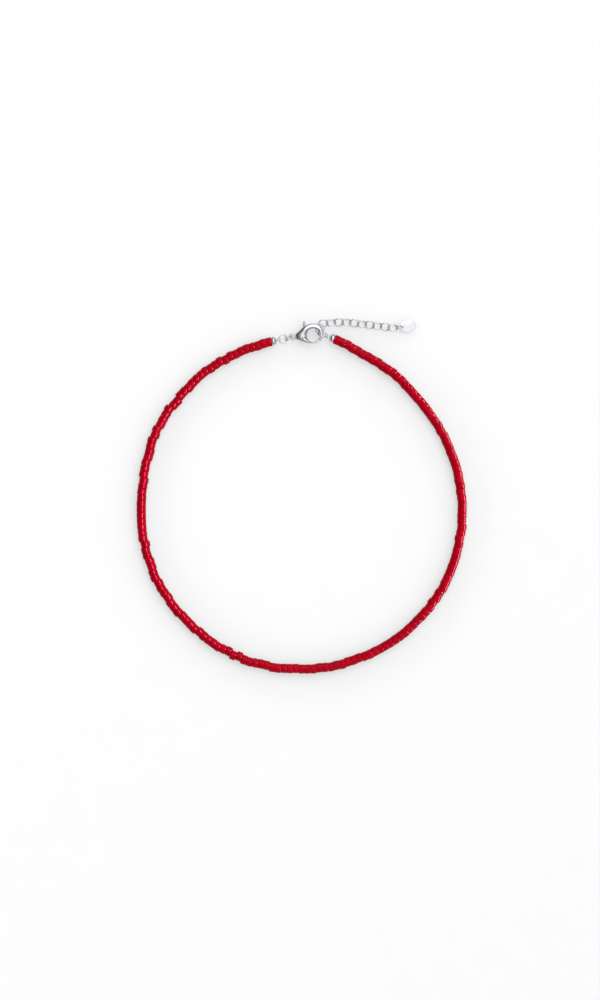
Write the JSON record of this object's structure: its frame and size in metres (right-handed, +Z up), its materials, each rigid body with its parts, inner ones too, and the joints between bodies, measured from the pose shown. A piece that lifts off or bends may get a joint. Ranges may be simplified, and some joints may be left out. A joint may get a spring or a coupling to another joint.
{
  "type": "coral bead necklace",
  "caption": "Short necklace of small drilled coral-red beads on a thread, with bead tips, jump rings, a lobster clasp and an extender chain with an oval end tag.",
  "frame": {"origin": "middle of the footprint, on the surface that the necklace lies on", "axes": "+Z up from that surface, +Y from the front of the loop to its clasp, +X towards the free end of the extender chain"},
  "size_m": [0.1156, 0.1246, 0.0038],
  "materials": {
    "coral": "polished, opaque deep coral red",
    "silver": "polished silver plating"
  },
  "bodies": {
    "necklace": {"bead_strand_left": "coral", "bead_strand_right": "coral", "bead_tip_left": "silver", "bead_tip_right": "silver", "jump_ring_left": "silver", "jump_ring_clasp": "silver", "jump_ring_right": "silver", "clasp_body": "silver", "clasp_rivet": "silver", "extender_link_01": "silver", "extender_link_02": "silver", "extender_link_03": "silver", "extender_link_04": "silver", "extender_link_05": "silver", "extender_link_06": "silver", "extender_link_07": "silver", "extender_link_08": "silver", "extender_link_09": "silver", "extender_link_10": "silver", "extender_link_11": "silver", "tag_link": "silver", "end_tag": "silver"},
    "lever": {"clasp_lever": "silver"}
  },
  "joints": [
    {"name": "clasp_lever_hinge", "type": "hinge", "parent": "necklace", "child": "lever", "pos_m": [0.00066, 0.05526, 0.00169], "axis": [-0.0687, -0.0121, 0.9976], "range_deg": [0, 14], "stiffness_Nm_per_rad": 0.001, "springref_deg": -11.46}
  ]
}
